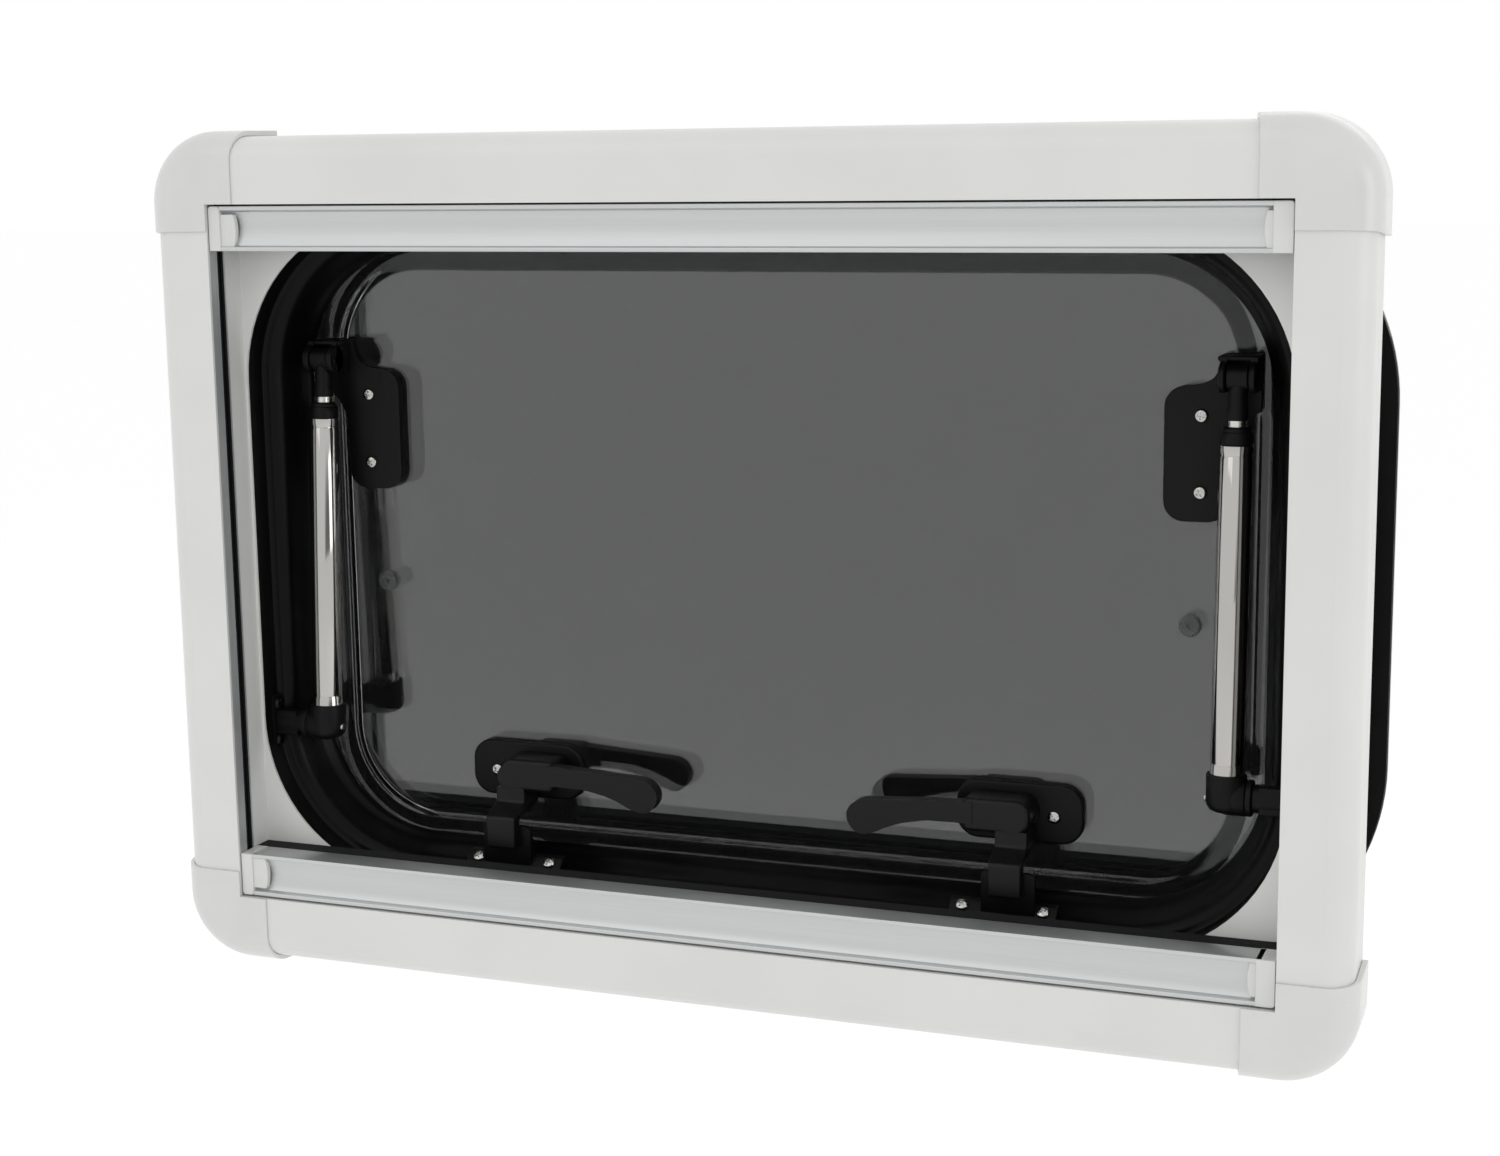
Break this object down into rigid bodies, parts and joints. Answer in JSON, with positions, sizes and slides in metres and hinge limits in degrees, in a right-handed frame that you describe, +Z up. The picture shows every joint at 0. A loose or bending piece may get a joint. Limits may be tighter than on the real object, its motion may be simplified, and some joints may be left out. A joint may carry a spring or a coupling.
{
  "type": "hinged caravan window with blind frame",
  "caption": "Top-hinged double-glazed caravan window with telescopic stays, lever latches and an inner frame holding a roller flyscreen and a blackout blind.",
  "frame": {"origin": "centre of the opening, on the plane where the blind frame meets the wall's inner face", "axes": "+X right seen from the room, +Y outward through the wall, +Z up"},
  "size_m": [0.682, 0.0963, 0.4818],
  "materials": {
    "white_coated_aluminium": "satin powder coat",
    "white_plastic": "fine satin moulding",
    "white_sheet": "satin coated sheet",
    "bar_aluminium": "satin anodised extrusion",
    "guide_aluminium": "mill finish extrusion",
    "brush_pile": "short dense pile",
    "zinc_steel": "zinc plated",
    "screen_mesh": "woven glass fibre mesh",
    "blackout_cloth": "coated cloth",
    "black_frame_foam": "moulded integral-skin polyurethane",
    "seal_rubber": "matt extrusion",
    "smoked_acrylic": "clear polished, tinted",
    "black_bond": "opaque bonded border",
    "black_hinge_aluminium": "black anodised extrusion",
    "clear_plastic": "clear moulding",
    "black_gloss_plastic": "fine polished moulding",
    "black_satin_plastic": "fine texture",
    "chrome": "bright plating on brass tube",
    "bright_steel": "bright"
  },
  "bodies": {
    "frame": {"top_cassette": "white_coated_aluminium", "bottom_cassette": "white_coated_aluminium", "left_side_profile": "white_coated_aluminium", "right_side_profile": "white_coated_aluminium", "corner_cover_top_left": "white_plastic", "corner_cover_top_right": "white_plastic", "corner_cover_bottom_left": "white_plastic", "corner_cover_bottom_right": "white_plastic", "guide_channels": "guide_aluminium", "guide_brushes": "brush_pile", "backing_plate": "white_sheet", "clamp_ring": "white_plastic", "clamp_screws": "zinc_steel", "window_frame": "black_frame_foam", "frame_seal": "seal_rubber", "hinge_channel": "black_hinge_aluminium", "left_keeper": "black_satin_plastic", "right_keeper": "black_satin_plastic", "keeper_screws": "zinc_steel", "stay_bases": "black_satin_plastic", "stay_base_screws": "zinc_steel", "roller_brackets": "zinc_steel"},
    "sash": {"outer_pane": "smoked_acrylic", "inner_pane": "smoked_acrylic", "sash_rim": "black_bond", "hinge_rail": "black_hinge_aluminium", "vent_plugs": "clear_plastic", "left_stay_bracket": "black_satin_plastic", "right_stay_bracket": "black_satin_plastic", "bracket_screws": "zinc_steel", "left_latch_base": "black_gloss_plastic", "right_latch_base": "black_gloss_plastic", "latch_screws": "zinc_steel", "latch_pivots": "black_gloss_plastic"},
    "left_latch": {"left_latch_lever": "black_gloss_plastic"},
    "right_latch": {"right_latch_lever": "black_gloss_plastic"},
    "flyscreen_bar": {"flyscreen_bar": "bar_aluminium", "flyscreen_left_cap": "white_plastic", "flyscreen_right_cap": "white_plastic", "flyscreen_bar_brush": "brush_pile", "flyscreen_web": "screen_mesh"},
    "blackout_bar": {"blackout_bar": "bar_aluminium", "blackout_left_cap": "white_plastic", "blackout_right_cap": "white_plastic", "blackout_bar_brush": "brush_pile", "blackout_web": "blackout_cloth"},
    "flyscreen_roller": {"flyscreen_tube": "bar_aluminium", "flyscreen_roll": "screen_mesh"},
    "blackout_roller": {"blackout_tube": "bar_aluminium", "blackout_roll": "blackout_cloth"},
    "left_stay_rod": {"left_stay_head": "black_satin_plastic", "left_stay_rod": "bright_steel"},
    "left_stay_tube": {"left_stay_collar": "black_satin_plastic", "left_stay_tube": "chrome", "left_stay_foot": "black_satin_plastic"},
    "right_stay_rod": {"right_stay_head": "black_satin_plastic", "right_stay_rod": "bright_steel"},
    "right_stay_tube": {"right_stay_collar": "black_satin_plastic", "right_stay_tube": "chrome", "right_stay_foot": "black_satin_plastic"}
  },
  "joints": [
    {"name": "sash_hinge", "type": "hinge", "parent": "frame", "child": "sash", "pos_m": [0, 0.0425, 0.206], "axis": [1, 0, 0], "range_deg": [0, 65]},
    {"name": "flyscreen_slide", "type": "slide", "parent": "frame", "child": "flyscreen_bar", "axis": [0, 0, 1], "range_m": [-0.34, 0], "deforming": ["flyscreen_web"]},
    {"name": "blackout_slide", "type": "slide", "parent": "frame", "child": "blackout_bar", "axis": [0, 0, 1], "range_m": [0, 0.34], "deforming": ["blackout_web"]},
    {"name": "flyscreen_roller_spin", "type": "hinge", "parent": "frame", "child": "flyscreen_roller", "pos_m": [0, -0.01935, 0.216], "axis": [1, 0, 0], "range_deg": [0, 2765]},
    {"name": "blackout_roller_spin", "type": "hinge", "parent": "frame", "child": "blackout_roller", "pos_m": [0, -0.01935, -0.216], "axis": [1, 0, 0], "range_deg": [-2765, 0]},
    {"name": "left_latch_turn", "type": "hinge", "parent": "sash", "child": "left_latch", "pos_m": [-0.1495, 0.03, -0.13], "axis": [0, -1, 0], "range_deg": [0, 90]},
    {"name": "right_latch_turn", "type": "hinge", "parent": "sash", "child": "right_latch", "pos_m": [0.1495, 0.03, -0.13], "axis": [0, 1, 0], "range_deg": [0, 90]},
    {"name": "left_stay_swing", "type": "hinge", "parent": "sash", "child": "left_stay_rod", "pos_m": [-0.265, 0.02, 0.11], "axis": [1, 0, 0], "range_deg": [-86.47, 0]},
    {"name": "left_stay_slide", "type": "slide", "parent": "left_stay_rod", "child": "left_stay_tube", "axis": [0, -0.0534, -0.9986], "range_m": [0, 0.05896]},
    {"name": "right_stay_swing", "type": "hinge", "parent": "sash", "child": "right_stay_rod", "pos_m": [0.265, 0.02, 0.11], "axis": [1, 0, 0], "range_deg": [-86.47, 0]},
    {"name": "right_stay_slide", "type": "slide", "parent": "right_stay_rod", "child": "right_stay_tube", "axis": [0, -0.0534, -0.9986], "range_m": [0, 0.05896]}
  ],
  "couplings": [
    {"joint": "flyscreen_roller_spin", "follows": "flyscreen_slide", "rad_per_m": -141.7},
    {"joint": "blackout_roller_spin", "follows": "blackout_slide", "rad_per_m": -141.7},
    {"joint": "left_stay_swing", "follows": "sash_hinge", "ratio": -1.3226},
    {"joint": "left_stay_slide", "follows": "sash_hinge", "m_per_rad": 0.051533},
    {"joint": "right_stay_swing", "follows": "sash_hinge", "ratio": -1.3226},
    {"joint": "right_stay_slide", "follows": "sash_hinge", "m_per_rad": 0.051533}
  ]
}
